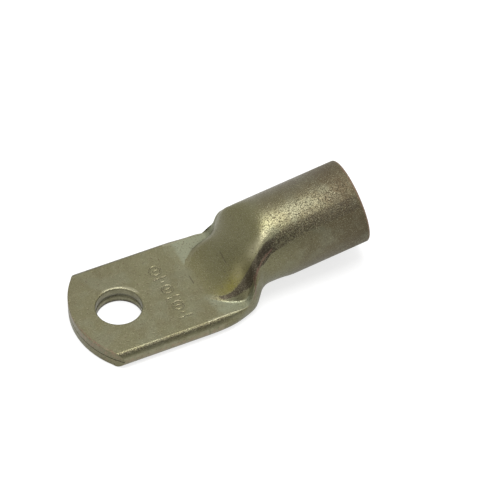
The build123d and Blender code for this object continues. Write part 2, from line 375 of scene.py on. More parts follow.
def section_corners(x, size):
    """Seven corners of half a section at each station: y, z, arriving and leaving directions.

    Each corner is its place on the flat palm, mixed with its place on the round tube by its own
    easing along the neck. Directions are in radians from +Y.
    """
    widening = ease(x, 0, ROUND_TO, WIDTH_SHARPNESS, WIDTH_DELAY)
    width = mix(size.palm_width / 2, size.tube_radius, widening)
    low = keel_height(x, size)
    top = crown_height(x, size)
    lifting = ease(x, MIDDLE_FROM, MIDDLE_TO, LIFT_SHARPNESS)
    middle = mix(size.fold_height, axis_height(x, size), lifting)
    half_turn = math.pi

    def travel(flat, on_tube, turn, inward, upward, turned):
        return [mix(flat[0], on_tube[0], inward), mix(flat[1], on_tube[1], upward),
                mix(flat[2], QUARTER_TURN + turn, turned),
                mix(flat[3], QUARTER_TURN + turn, turned)]

    def upper(turn):
        return width * np.cos(turn), axis_height(x, size) + size.tube_radius * np.sin(turn)

    share = ease(x, CREASE_FROM, TUBE_TO, LIFT_SHARPNESS)
    turn = math.radians(LOWER_CORNER_ANGLE)
    lower = travel((width - size.fold_inset, 0.0, 0.0, QUARTER_TURN - size.fold_turn),
                   (width * math.cos(turn), middle + (middle - low) * math.sin(turn)),
                   turn, share, share, share)

    inset = mix(size.fold_inset, TUCKED_INSET, ease(x, TUCK_FROM, TUCK_TO))
    crease = np.radians(mix(CREASE_LOW_ANGLE, CREASE_ANGLE, ease(x, SLIDE_FROM, TUBE_TO)))
    step = math.radians(CREASE_STEP)
    arris = travel((width - inset, size.palm_thickness, QUARTER_TURN + size.fold_turn, half_turn),
                   upper(crease), crease, ease(x, CREASE_FROM, FLANGE_TO),
                   ease(x, CURL_FROM, FLANGE_TO), ease(x, CREASE_FROM, ROUND_TO))

    share = ease(x, CREASE_FROM, FLANK_TO)
    edge = np.minimum(foot_line(x) + FOOT_FILLET, arris[0] - FLANGE_LIP)
    flange = travel((edge, arris[1], half_turn, half_turn), upper(crease + step), crease + step,
                    share, share, share)

    steep = ease(x, FOOT_FROM, DOME_STEEP_AT)
    height = top - arris[1]
    setback = mix(NOSE_SETBACK, DOME_SETBACK, steep)
    slope = np.arctan2(height, height / math.tan(math.radians(DOME_SLOPE)) + setback)
    run = np.clip(2 * FOOT_RUN * steep, FOOT_RUN_LEAST, FOOT_RUN)
    rise = np.minimum(FOOT_FILLET * np.tan(slope / 2), FOOT_RISE_SHARE * height)
    foot = travel((flange[0] - run, arris[1] + rise, half_turn - slope, half_turn - slope),
                  upper(crease + 2 * step), crease + 2 * step, share, share, share)

    keel = [0.0, low, 0.0, 0.0]
    side = [width, middle, QUARTER_TURN, QUARTER_TURN]
    crown = [0.0, top, half_turn, half_turn]
    corners = [keel, lower, side, arris, flange, foot, crown]
    return np.stack([joined(*corner) for corner in corners], axis=1)


def bezier(points, shares):
    """Points of the cubic curve with these four control points, at the given shares."""
    t = shares[None, :, None]
    weights = [(1 - t) ** 3, 3 * t * (1 - t) ** 2, 3 * t ** 2 * (1 - t), t ** 3]
    return sum(weight * point[:, None, :] for weight, point in zip(weights, points))


def arc_points(start, end, shares):
    """Cubic curve between two corners at the given shares, with handles as long as an arc's."""
    chord = np.hypot(end[:, 0] - start[:, 0], end[:, 1] - start[:, 1])
    reach = (chord / (3 * np.cos((end[:, 2] - start[:, 3]) / 4) ** 2))[:, None]
    first = start[:, :2] + reach * joined(np.cos(start[:, 3]), np.sin(start[:, 3]))
    second = end[:, :2] - reach * joined(np.cos(end[:, 2]), np.sin(end[:, 2]))
    return bezier([start[:, :2], first, second, end[:, :2]], shares)


def dome_points(foot, crown, x, shares):
    """Cubic curve from the foot over the dome to the crown, with its handles on their tangents.

    The tangent of the foot meets the level of the crown in a point. The handles end a share of
    the way to it, more on the dome, whose top is flatter, than on the round tube.
    """
    fullness = mix(DOME_FULLNESS, TUBE_FULLNESS, ease(x, CREASE_FROM, TUBE_TO))[:, None]
    corner = crown[:, :2].copy()
    corner[:, 0] = foot[:, 0] + (crown[:, 1] - foot[:, 1]) / np.tan(foot[:, 3])
    first = mix(foot[:, :2], corner, fullness)
    second = mix(crown[:, :2], corner, fullness)
    return bezier([foot[:, :2], first, second, crown[:, :2]], shares)


def both_ends(count):
    """Shares from 0 that lie close together at both ends, as a cosine does."""
    return (1 - np.cos(np.pi * np.arange(count) / count)) / 2


def half_section(x, size):
    """Points of half a section at each station, from the keel to the crown, as y and z.

    The arcs between the corners are joined, and the sharp bends at the fold's edge and at the
    foot of the dome are rounded by averaging neighbours there a few times.
    """
    corners = section_corners(x, size)
    arcs = []
    for i, count in enumerate(ARC_POINTS):
        shares = both_ends(count) if i in (1, 2, 3) else np.arange(count) / count
        if i == DOME_ARC:
            arcs.append(dome_points(corners[:, i], corners[:, i + 1], x, shares))
        else:
            arcs.append(arc_points(corners[:, i], corners[:, i + 1], shares))
    arcs.append(corners[:, -1:, :2])
    points = np.concatenate(arcs, axis=1)
    for centre, reach, passes in SOFTENED:
        near, before, after = (slice(centre - reach + shift, centre + reach + 1 + shift)
                               for shift in (0, -1, 1))
        for _ in range(passes):
            points[:, near] = points[:, near] / 2 + (points[:, before] + points[:, after]) / 4
    lean = mix(1.0, 1 / math.cos(size.tilt), ease(x, FOOT_FROM, TUBE_TO))[:, None]
    centre = axis_height(x, size)[:, None]
    points[:, :, 1] = np.maximum(centre + (points[:, :, 1] - centre) * lean, LOWEST)
    return points


def full_rows(x, half):
    """Closed rows of points from half sections: up the +Y side to the crown and down the other."""
    around = np.concatenate([half, half[:, -2:0:-1] * [-1.0, 1.0]], axis=1)
    return joined(x[:, None], around[:, :, 0], around[:, :, 1])


def ring_angles(row, size):
    """Angle round the tilted axis of each point of a row that lies on the tube."""
    height = (row[:, 2] - axis_height(row[:, 0], size)) * math.cos(size.tilt)
    return np.arctan2(height, row[:, 1])


def mouth_rows(angles, size):
    """Rings from the tube's outer edge round the mouth and down the bore.

    Each is a circle about the tilted axis, at a radius and a depth from the mouth's plane.
    """
    centre = np.array([size.mouth_station, 0.0, axis_height(size.mouth_station, size)])
    along = np.array([math.cos(size.tilt), 0.0, math.sin(size.tilt)])
    across = np.array([0.0, 1.0, 0.0])
    upward = np.array([-math.sin(size.tilt), 0.0, math.cos(size.tilt)])
    rounding, chamfer = size.mouth_rounding, size.bore_chamfer
    turn = np.linspace(0, QUARTER_TURN, MOUTH_ROWS)
    outer = joined(size.tube_radius - rounding * (1 - np.cos(turn)),
                   rounding * (1 - np.sin(turn)))
    lip = size.bore_radius + chamfer
    soft = 0.4 * EDGE_SOFTNESS
    edges = [(mix(size.tube_radius - rounding, lip, 0.5), 0.0), (lip + EDGE_SOFTNESS, 0.0),
             (lip, soft), (size.bore_radius + soft, chamfer),
             (size.bore_radius, chamfer + EDGE_SOFTNESS)]
    depths = np.linspace(chamfer + EDGE_SOFTNESS, size.bore_depth, BORE_ROWS + 1)[1:]
    wall = [(size.bore_radius, depth) for depth in depths]
    rings = np.array([*outer, *edges, *wall, (size.bore_radius - SHOULDER, size.bore_depth)])
    circle = np.cos(angles)[:, None] * across + np.sin(angles)[:, None] * upward
    return centre + rings[:, 0, None, None] * circle - rings[:, 1, None, None] * along


def hollow_rows(angles, size):
    """Lens-shaped rows from the end of the bore down to the slit, two cubic arcs to each half.

    The roof lies one wall inside the crown's line, square to it. The station of the crown that
    each point of the roof belongs to is found by passes of averaging.
    """
    bore_end = size.mouth_station - (size.bore_depth + HOLLOW_GAP) * math.cos(size.tilt)
    x = np.linspace(bore_end, NECK_START + HOLLOW_START, HOLLOW_ROWS)
    station = x.copy()
    for _ in range(ROOF_PASSES):
        rise = crown_height(station + SLOPE_STEP, size) - crown_height(station - SLOPE_STEP, size)
        slope = np.arctan2(rise, 2 * SLOPE_STEP)
        station = (station + x - size.wall * np.sin(slope)) / 2
    roof = crown_height(station, size) - size.wall * np.cos(slope) - SHOULDER
    opening = ease(x, DOME_STEEP_AT, FLANGE_TO)
    radius = size.bore_radius - SHOULDER
    width = mix(foot_line(x) - size.wall, radius, opening)
    low = np.maximum(mix(size.fold_height, keel_height(x, size) + size.wall, opening),
                     axis_height(x, size) - radius)
    top = np.maximum(roof, low + HOLLOW_SLIT)
    middle = mix(low, top, mix(SLIT_SIDE_SHARE, ROUND_SIDE_SHARE, opening))
    keel, side, crown = (joined(y, z, turn, turn) for y, z, turn in (
        (0.0, low, 0.0), (width, middle, QUARTER_TURN), (0.0, top, math.pi)))
    turned = np.arcsin(np.clip(np.sin(angles), -1, 1)) / QUARTER_TURN
    lower = arc_points(keel, side, np.clip(turned + 1, 0, 1))
    upper = arc_points(side, crown, np.clip(turned, 0, 1))
    around = np.where(turned[None, :, None] < 0, lower, upper)
    hand = np.where(np.cos(angles) < 0, -1.0, 1.0)
    return joined(x[:, None], around[:, :, 0] * hand, around[:, :, 1])


def nose_line(y, size):
    """Where the front edge is at y, an arc about a point on the centre line."""
    return size.nose_radius - size.palm_nose - np.sqrt(size.nose_radius ** 2 - y ** 2)


def nose_profile(count, size):
    """Inset and height of the points down the cut front.

    Both edges are quarter circles, and between them a V-shaped groove lies where the walls meet,
    with the points crowded towards it by a power.
    """
    rounding, top = size.nose_rounding, size.palm_thickness
    flat_top = [(rounding + LIP_REACH * (1 - i / TOP_LIP), top) for i in range(TOP_LIP)]
    turn = np.linspace(0, QUARTER_TURN, ROUNDING_STEPS)
    upper = [(rounding * (1 - math.sin(a)), top - rounding * (1 - math.cos(a))) for a in turn]
    lower = [(rounding * (1 - math.cos(a)), rounding * (1 - math.sin(a))) for a in turn]
    flat_low = [(rounding + LIP_REACH * i / BOTTOM_LIP, 0.0) for i in range(1, BOTTOM_LIP + 1)]
    face = count - len(flat_top) - len(upper) - len(lower) - len(flat_low)
    spread = np.linspace(-1, 1, face + 2)[1:-1]
    reach = size.fold_height - rounding
    from_groove = reach * np.sign(spread) * np.abs(spread) ** GROOVE_CROWDING
    groove = size.seam_depth * np.clip(1 - np.abs(from_groove) / size.seam_width, 0, 1)
    middle = joined(groove, size.fold_height - from_groove)
    return np.concatenate([flat_top, upper, middle, lower, flat_low])


def palm_rays(fold, size):
    """The palm's edge as rays round the bolt hole, each with its points from top to bottom.

    The rays run along the join to the neck from -Y to +Y, along the +Y side to the front, round
    the front and back along the -Y side. fold holds the inset and height of the long sides' edge.
    At the corners the rows on the flats turn from one edge to the other on a diagonal.
    """
    half = size.palm_width / 2
    reach = half - fold[0, 0]
    joint = joined(JOIN_STATION, np.linspace(-reach, reach, JOIN_RAYS)[:, None],
                   size.palm_thickness)
    low = joint * [1.0, (half - fold[-1, 0]) / reach, 0.0]
    join_rays = mix(joint, low, np.linspace(0, 1, len(fold))[None, :, None])

    deep = half - fold[:, 0]
    row = np.arange(len(fold))
    ends = np.clip(row, TOP_LIP, len(fold) - 1 - BOTTOM_LIP)
    lip = CORNER_SETBACK * (deep[ends] - deep)
    corner_x = nose_line(deep[ends], size) + lip
    share = np.linspace(0, 1, SIDE_RAYS + 1)[1:]
    side_x = mix(JOIN_STATION, corner_x[None], mix(share, smooth(share), 0.5)[:, None])
    side = joined(side_x, deep, fold[:, 1])
    for ray, hand in ((0, -1.0), (-1, 1.0)):
        join_rays[ray] = joined(JOIN_STATION, hand * deep, fold[:, 1])

    nose = nose_profile(len(fold), size)
    across = np.cos(np.pi * np.arange(1, FRONT_RAYS + 1) / (FRONT_RAYS + 1))[:, None]
    across = np.sign(across) * np.abs(across) ** CORNER_CROWDING
    corner = smooth((np.abs(across) * half - half + CORNER_FROM) / CORNER_RUN)[:, :, None]
    edge_x = nose_line(across * deep[ends], size)
    plain, rolled = (joined(edge_x + inset, across * deep, height)
                     for inset, height in ((nose[:, 0], nose[:, 1]), (lip, fold[:, 1])))
    front = mix(plain, rolled, corner)
    return np.concatenate([join_rays, side, front, side[::-1] * [1.0, -1.0, 1.0]])


def punched_row(x, y, size):
    """How deep the row of plain punch marks is at x and y: rings, dots and broken bars.

    Each mark is a distance from a circle or from a short line. The depth falls off smoothly over
    the stroke's width.
    """
    stroke = size.mark_stroke / 2
    lean = math.radians(ROW_LEAN)
    x, y = x - ROW_CENTRE[0], y - ROW_CENTRE[1]
    u = x * math.sin(lean) + y * math.cos(lean)
    v = x * math.cos(lean) - y * math.sin(lean)

    def ring(at, radius):
        return np.abs(np.hypot(u - at, v) - radius)

    def bar(at, half, shift=0.0):
        return np.hypot(u - at, np.maximum(np.abs(v - shift) - half, 0))

    marks = [bar(at, DOT_HALF) for at in DOTS]
    for at, radius, inside in RINGS:
        marks += [ring(at, radius), bar(at, inside)]
    for at in BROKEN_BARS:
        marks += [bar(at, BAR_HALF, BAR_SHIFT), bar(at, BAR_HALF, -BAR_SHIFT)]
    nearest = np.minimum.reduce(marks)
    return fade(nearest, stroke * STROKE_CORE, -stroke * STROKE_FADE)


def palm_rings(size, fold):
    """The palm as closed paths, one for each ray round the hole.

    Each path runs up the hole's wall, over its rim, out over the top to the edge, down the edge
    and back along the underside. Returns points by ray and step, and the step marks.
    """
    edge = palm_rays(fold, size)
    turn = np.arctan2(edge[:, 0, 1], edge[:, 0, 0])[:, None]
    middle, gap, deep = size.fold_height, size.seam_width, size.seam_depth
    chamfer, rim = HOLE_CHAMFER, size.hole_rim
    wall = [(chamfer, 0.0), (0.3 * chamfer, 0.3 * chamfer), (0.0, chamfer), (0.0, middle / 2),
            (0.0, middle - gap), (deep, middle - GROOVE_FLAT), (deep, middle + GROOVE_FLAT),
            (0.0, middle + gap), (0.0, middle + RING_UNDER_RIM)]
    wall += [(rim * (1 - math.cos(a)), size.palm_thickness - rim * (1 - math.sin(a)))
             for a in np.linspace(0, QUARTER_TURN, RIM_STEPS)]
    radius, height = (np.array(wall) + [size.hole_radius, 0.0]).T
    hole = joined(np.cos(turn) * radius, np.sin(turn) * radius, height)

    outward = inner(TOP_STEPS) ** EDGE_CROWDING
    top = mix(hole[:, -1:], edge[:, :1], outward[None, :, None])
    top[:, :, 2] -= size.mark_depth * punched_row(top[:, :, 0], top[:, :, 1], size)
    under = mix(edge[:, -1:], hole[:, :1], inner(UNDERSIDE_STEPS)[None, :, None])
    path = np.concatenate([hole, top, edge, under], axis=1)
    hole_end, top_end, edge_end = np.cumsum([part.shape[1] for part in (hole, top, edge)])
    return path, SimpleNamespace(hole=hole_end, top=top_end, edge=edge_end)


def grid_faces(rows, columns, closed_rows=False, closed_columns=False):
    """Quads of a grid whose points are numbered row by row: by row, by column, four corners."""
    i = np.arange(rows if closed_rows else rows - 1)[:, None]
    j = np.arange(columns if closed_columns else columns - 1)
    here, there = i * columns, (i + 1) % rows * columns
    j_next = (j + 1) % columns
    return joined(here + j, there + j, there + j_next, here + j_next)


def zip_faces(near, near_at, far, far_at):
    """Triangles between two chains of points by their places from 0 to 1 along the chains.

    Walking along both, the chain whose next point comes first moves on, and each move makes one
    triangle with the point that the other chain stands at.
    """
    waiting = np.searchsorted(far_at[1:], near_at[1:], side="left")
    first = joined(near[:-1], near[1:], far[waiting])
    waiting = np.searchsorted(near_at[1:], far_at[1:], side="right")
    second = joined(far[1:], far[:-1], near[waiting])
    faces = np.concatenate([first, second])
    whole = np.all(faces != np.roll(faces, 1, axis=1), axis=1)
    return faces[whole]


def lug_surface(size):
    """The whole skin of the lug: points in millimetres, quads, triangles and masks at the points.

    The tube is one grid: rows at stations along the neck and barrel, round the mouth, down the
    bore and into the hollow. The palm is another, of paths round the bolt hole. The two meet in a
    narrow strip of triangles on the flat just before the neck. The grids run so that their faces
    point inwards, and all are turned round at the end.
    """
    dense = np.arange(JOIN_STATION + JOIN_GAP, NECK_START + CROWN_TO, STATION_STEP)
    calm = np.linspace(NECK_START + CROWN_TO, size.neck_end, CALM_ROWS)
    x = np.concatenate([dense, calm])
    half = half_section(x, size)
    neck = full_rows(x, half)
    angles = ring_angles(neck[-1], size)
    mouth = mouth_rows(angles, size)
    barrel = mix(neck[-1], mouth[0], inner(BARREL_ROWS)[:, None, None])
    tube = np.concatenate([neck, barrel, mouth, hollow_rows(angles, size)])
    rows, around = tube.shape[:2]
    tube_quads = grid_faces(rows, around, closed_columns=True).reshape(-1, 4)

    crown = half.shape[1] - 1
    lip_top, lip_low = ARRIS + TOP_LIP, ARC_POINTS[0] - BOTTOM_LIP
    edge_rows = np.arange(lip_top, lip_low - 1, -1)
    fold = half[0, edge_rows].copy()
    fold[:, 0] = size.palm_width / 2 - fold[:, 0]
    fold[:, 1] = np.clip(fold[:, 1], 0.0, size.palm_thickness)
    palm, marks = palm_rings(size, fold)
    rays, steps = palm.shape[:2]
    quads = grid_faces(rays, steps, closed_rows=True, closed_columns=True)
    inside = np.zeros(quads.shape[:2], bool)
    inside[:JOIN_RAYS - 1, marks.top:marks.edge - 1] = True
    base = rows * around
    palm_quads = quads[~inside] + base

    points = np.concatenate([tube.reshape(-1, 3), palm.reshape(-1, 3)])
    top_ids = base + np.arange(JOIN_RAYS) * steps + marks.top
    low_ids = base + np.arange(JOIN_RAYS) * steps + marks.edge - 1
    tube_top = np.concatenate([np.arange(around - lip_top, crown, -1),
                               np.arange(crown, lip_top - 1, -1)])
    tube_low = np.concatenate([np.arange(around - lip_low, around), np.arange(0, lip_low + 1)])

    def chain(ids):
        """The points of a chain and their places from 0 to 1 by how far across they lie."""
        y = points[ids][:, 1]
        return ids, (y - y[0]) / (y[-1] - y[0])

    last = base - around
    lens = points[last:base]
    side, other = int(np.argmax(lens[:, 1])), int(np.argmin(lens[:, 1]))
    triangles = [zip_faces(*chain(top_ids), *chain(tube_top)),
                 zip_faces(*chain(tube_low), *chain(low_ids)),
                 zip_faces(*chain(np.arange(side, other - around - 1, -1) % around + last),
                           *chain(np.arange(side, other + 1) + last))]
    corners = []
    for ray, tube_side, turn in ((JOIN_RAYS - 1, edge_rows, 1),
                                 (0, (around - edge_rows) % around, -1)):
        palm_side = base + ray * steps + marks.top + np.arange(len(edge_rows))
        corners.append(joined(palm_side[:-1], palm_side[1:], tube_side[1:],
                              tube_side[:-1])[:, ::turn])
    quads = np.concatenate([tube_quads, palm_quads, *corners])
    triangles = np.concatenate(triangles)

    masks = skin_masks(tube, tube_masks(tube, len(neck), len(neck) + len(barrel)),
                       palm, palm_masks(palm, marks, size))
    return points, quads[:, ::-1], triangles[:, ::-1], masks


def from_line(x, z, line):
    """Distance of points in the side view from a line of straight runs."""
    nearest = np.full_like(x, np.inf)
    for (x0, z0), (x1, z1) in zip(line[:-1], line[1:]):
        run, rise = x1 - x0, z1 - z0
        share = np.clip(((x - x0) * run + (z - z0) * rise) / (run ** 2 + rise ** 2), 0, 1)
        nearest = np.minimum(nearest, np.hypot(x - x0 - share * run, z - z0 - share * rise))
    return nearest


def fold_shade(height):
    """Painted shade on the folded sides, a dark reflection in a band of heights under the arris,
    eased at both ends.
    """
    return FOLD_SHADE * fade(height, 3.37, -0.03) * fade(height, 2.75, 0.3)


def lower_fold(height):
    """The lower half of the folded sides, down to just above the underside, that takes a painted
    floor reflection and copper.
    """
    return fade(height, 2.35, -0.5) * fade(height, 0.15, 0.5)


def tube_masks(grid, neck_rows, outer_rows):
    """Masks on the neck, barrel and mouth: rubbed and bare edges, painted shade and sheen, films,
    flange, painted highlight and crease.

    Each is the product of its zone's fades, and some also of a bell across the upper edge of the
    painted shade or across the crease. The painted shade down the flank, the patina and the
    painted highlight along the ridge are on the near side. The pale flange colour is stronger on
    the far side, where it is a painted bright reflection, and the folded sides take painted shade
    and a painted floor reflection.
    """
    row = np.arange(grid.shape[0])[:, None]
    half = grid.shape[1] / 2
    on_neck, outside = row < neck_rows, row < outer_rows
    station, across, height = np.moveaxis(grid, 2, 0)
    from_crown = np.abs(np.arange(grid.shape[1])[None, :] - half)
    past_start = from_crown - np.interp(station, SHADE_AT, SHADE_FROM)
    past_end = from_crown - np.interp(station, SHADE_AT, SHADE_TO)
    past_arris = from_crown - (half - ARRIS)
    measured = {"station": station, "across": across, "height": height, "crown": from_crown,
                "film_and_shade": past_start}
    zone = {name: math.prod(fade(measured[key], start, run) for key, start, run in fades)
            for name, fades in ZONES.items()}
    near, on_fold = zone["near"], zone["fold"] * (past_arris >= 0) * on_neck

    # Towards the barrel the painted shade thins to half, and its lower edge grows softer
    spread = mix(4.0, 13.0, fade(station, 26.0, 6.0))
    film_and_shade = zone["film_and_shade"] * (1 - smooth((past_end + 1.5) / spread)) * outside * near
    film_and_shade = film_and_shade * mix(1.0, 0.5, fade(station, 24.5, 5.0))
    # The painted highlight along the ridge is fainter on the dome than where the barrel begins
    crest_highlight = mix(0.6 * fade(station, 19.6, 2.0), 1.0, fade(station, 22.9, 1.3))
    crease = hump(from_line(station, height, CREASE_LINE), 0.0, CREASE_WIDTH)
    worn_and_sheen = np.clip(1 - np.abs(past_arris) / 5.0, 0, 1) * zone["worn_and_sheen"] * on_neck
    past_barrel = row - outer_rows
    rim = (past_barrel <= RIM_ROWS) * np.clip((past_barrel + 1) / 4.0, 0, 1)
    return {
        # Rubbed arris on the neck, and a painted floor reflection on the lower half of the folded
        # sides
        "worn_and_sheen": np.maximum(worn_and_sheen, FOLD_SHEEN * lower_fold(height) * on_fold),
        "bare": np.maximum(rim, FOLD_BARE * lower_fold(height + 0.5) * on_fold),
        # Painted shade: the dark reflection down the near flank and under the fold's arris
        "film_and_shade": np.maximum(film_and_shade, fold_shade(height) * on_fold),
        "gold": hump(past_start, -3.2, 5.6) * zone["gold"] * on_neck * near,
        "dome": zone["dome"] * on_neck,
        # Pale flange film, stronger on the far side, where it is a painted bright reflection
        "pale_film_and_sheen": zone["pale_film_and_sheen"] * mix(0.62, 1.4, 1 - near) * on_neck,
        # Painted highlight along the dome's ridge, on the near side
        "crest_highlight": hump(past_start, -4.6, 4.6) * zone["crest_highlight"] * crest_highlight * on_neck * near,
        "brown": zone["brown"] * outside,
        "crease": crease * zone["crease"] * outside,
    }


def palm_masks(palm, marks, size):
    """Masks on the palm: rubbed edges, painted sheen and shade, the bare cut front, and the gap
    between the walls.

    They follow from which part of the path a point is on, from its height, and in the hole from
    the way that its wall faces, its far rim taking a painted highlight. Painted shade lies under
    the arris of the folded sides, along the flanks of each punched line and at the foot of the
    hole's wall, and a painted floor reflection on the lower half of the folded sides.
    """
    ray = np.arange(palm.shape[0])[:, None]
    step = np.arange(palm.shape[1])[None, :]
    x, y, height = np.moveaxis(palm, 2, 0)
    on_edge = (step >= marks.top) & (step < marks.edge) & (ray >= JOIN_RAYS)
    is_front = (ray >= JOIN_RAYS + SIDE_RAYS - 1) & (ray <= palm.shape[0] - SIDE_RAYS)
    fold = on_edge & ~is_front
    cut = on_edge & is_front & (height > 0.05) & (height < size.palm_thickness - 0.02)
    on_wall = step < marks.hole + 1
    on_top = (step >= marks.hole) & (step < marks.top)
    near_arris = np.clip(1 - np.abs(step - marks.top - TOP_LIP) / 4.0, 0, 1)
    facing = fade((RIM_HIGHLIGHT_WAY[0] * x + RIM_HIGHLIGHT_WAY[1] * y) / size.hole_radius, 0.60, 0.35)
    over_rim = np.clip((step - 10) / 4.0, 0, 1) * on_wall
    punched = punched_row(x, y, size) * on_top
    above_seam = height - size.fold_height
    return {
        # Rubbed edges, painted floor reflection on the folds, painted highlight on the hole's far
        # rim
        "worn_and_sheen": np.maximum.reduce([
            0.12 * near_arris * on_edge, FOLD_SHEEN * fold * lower_fold(height),
            facing * over_rim, 0.5 * (step < marks.hole - 4) * (height > 0.2)]),
        # Painted shade under the fold's arris, along the punched lines and at the foot of the
        # hole's wall
        "film_and_shade": np.maximum.reduce([
            fold * fold_shade(height), 4.0 * punched * (1 - punched),
            0.9 * on_wall * fade(height, 0.25, -0.35)]),
        "bare": np.maximum(cut * mix(0.22, 0.40, fade(above_seam, 0.1, 0.6)),
                           FOLD_BARE * fold * lower_fold(height + 0.5)),
        "gap": (cut | (step < marks.hole)) * fade(np.abs(above_seam), 0.03, -0.09),
        "crease": 0.7 * near_arris * (on_edge & is_front) * smooth(0.5 - y / 8.0),
    }


def skin_masks(tube, on_tube, palm, on_palm):
    """Values from 0 to 1 at every point of the skin, by name, first those of the tube's grid."""
    nothing = np.zeros(1)
    return {name: np.concatenate([
        np.broadcast_to(masks.get(name, nothing), grid.shape[:2]).ravel()
        for masks, grid in ((on_tube, tube), (on_palm, palm))]) for name in MASKS}


def build_mesh(name, points, quads, triangles, masks):
    """A smooth closed mesh in metres from grid points and faces, its masks as attributes."""
    mesh = bpy.data.meshes.new(name)
    mesh.from_pydata(points * MILLIMETRE, [], quads.tolist() + triangles.tolist())
    mesh.polygons.foreach_set("use_smooth", np.ones(len(mesh.polygons), bool))
    for key, values in masks.items():
        layer = mesh.attributes.new(key, "FLOAT", "POINT")
        layer.data.foreach_set("value", values.astype(np.float32))
    shell = bmesh.new()
    shell.from_mesh(mesh)
    bmesh.ops.remove_doubles(shell, verts=shell.verts, dist=MERGE_DISTANCE)
    bmesh.ops.recalc_face_normals(shell, faces=shell.faces)
    is_closed = all(edge.is_manifold for edge in shell.edges)
    shell.to_mesh(mesh)
    shell.free()
    if not is_closed:
        raise RuntimeError("the skin of the lug has an open edge")
    mesh.update()
    return mesh


class Nodes:
    """Adds and joins nodes in one tree, from left to right."""

    def __init__(self, tree):
        self.tree = tree
        self.place = 0

    def add(self, kind, settings=None, **inputs):
        """A new node with these settings. Inputs go by name, or by number as i0, i1 and on."""
        node = self.tree.nodes.new(kind)
        node.location = (self.place * 180, -(self.place % 4) * 160)
        self.place += 1
        for key, value in (settings or {}).items():
            setattr(node, key, value)
        for key, value in inputs.items():
            by_number = key[0] == "i" and key[1:].isdigit()
            self.feed(node.inputs[int(key[1:]) if by_number else key.replace("_", " ")], value)
        return node

    def feed(self, socket, value):
        if isinstance(value, bpy.types.NodeSocket):
            self.tree.links.new(value, socket)
        else:
            socket.default_value = value

    def blend(self, share, first, second):
        return self.add("ShaderNodeMix", {"data_type": "RGBA"}, i0=share, i6=first,
                        i7=second).outputs[2]

    def maths(self, operation, first, second=0.0, third=0.0):
        return self.add("ShaderNodeMath", {"operation": operation}, i0=first, i1=second,
                        i2=third).outputs[0]

    def vector(self, operation, first, second=(0.0, 0.0, 0.0)):
        return self.add("ShaderNodeVectorMath", {"operation": operation}, i0=first,
                        i1=second).outputs

    def span(self, value, low, high, to_low=0.0, to_high=1.0):
        """Eases from one number to another as the value goes from low to high."""
        return self.add("ShaderNodeMapRange", {"interpolation_type": "SMOOTHSTEP"}, Value=value,
                        From_Min=low, From_Max=high, To_Min=to_low, To_Max=to_high).outputs[0]

    def noise(self, where, scale, detail, roughness, distortion=0.0):
        return self.add("ShaderNodeTexNoise", None, Vector=where, Scale=scale, Detail=detail,
                        Roughness=roughness, Distortion=distortion).outputs[0]

    def mask(self, name):
        return self.add("ShaderNodeAttribute", {"attribute_name": name}).outputs["Fac"]

    def group(self, tree, **inputs):
        return self.add("ShaderNodeGroup", {"node_tree": tree}, **inputs).outputs


def new_group(name, takes, gives):
    """An empty shader group with these sockets: its tree, its nodes, what it takes and its end."""
    tree = bpy.data.node_groups.new(name, "ShaderNodeTree")
    for sockets, side in ((takes, "INPUT"), (gives, "OUTPUT")):
        for label, kind in sockets:
            tree.interface.new_socket(label, in_out=side, socket_type="NodeSocket" + kind)
    nodes = Nodes(tree)
    start = nodes.add("NodeGroupInput").outputs
    return tree, nodes, start, tree.nodes.new("NodeGroupOutput").inputs


def broken_edge_group():
    """A mask whose edge is broken up by noise: Ragged says how far the noise eats into it."""
    tree, nodes, start, end = new_group(
        "broken_edge",
        (("Place", "Vector"), ("Mask", "Float"), ("Scale", "Float"), ("Ragged", "Float")),
        (("Mask", "Float"),))
    noise = nodes.maths("SUBTRACT", nodes.noise(start["Place"], start["Scale"], 3.0, 0.62), 0.5)
    eaten = nodes.maths("MULTIPLY_ADD", noise, start["Ragged"], start["Mask"])
    whole = nodes.span(eaten, 0.25, 0.75)
    present = nodes.span(start["Mask"], 0.0, 0.12)
    nodes.feed(end["Mask"], nodes.maths("MULTIPLY", whole, present))
    return tree


def pitted_grain_group():
    """Fine pitted grain: shares of light and dark specks, and a height for the bump.

    Coarseness is the size of the grain in metres: the noise is scaled by a number over it.
    """
    tree, nodes, start, end = new_group(
        "pitted_grain", (("Place", "Vector"), ("Coarseness", "Float")),
        (("Light", "Float"), ("Dark", "Float"), ("Height", "Float")))
    coarseness = start["Coarseness"]
    fine = nodes.noise(start["Place"], nodes.maths("DIVIDE", 6.0, coarseness), 2.0, 0.6)
    pits = nodes.noise(start["Place"], nodes.maths("DIVIDE", 3.4, coarseness), 3.0, 0.65)
    nodes.feed(end["Light"], nodes.span(fine, 0.52, 0.70))
    nodes.feed(end["Dark"], nodes.span(pits, 0.55, 0.68))
    sunk = nodes.maths("MULTIPLY", nodes.span(pits, 0.50, 0.68), 0.6)
    nodes.feed(end["Height"], nodes.maths("SUBTRACT", fine, sunk))
    return tree


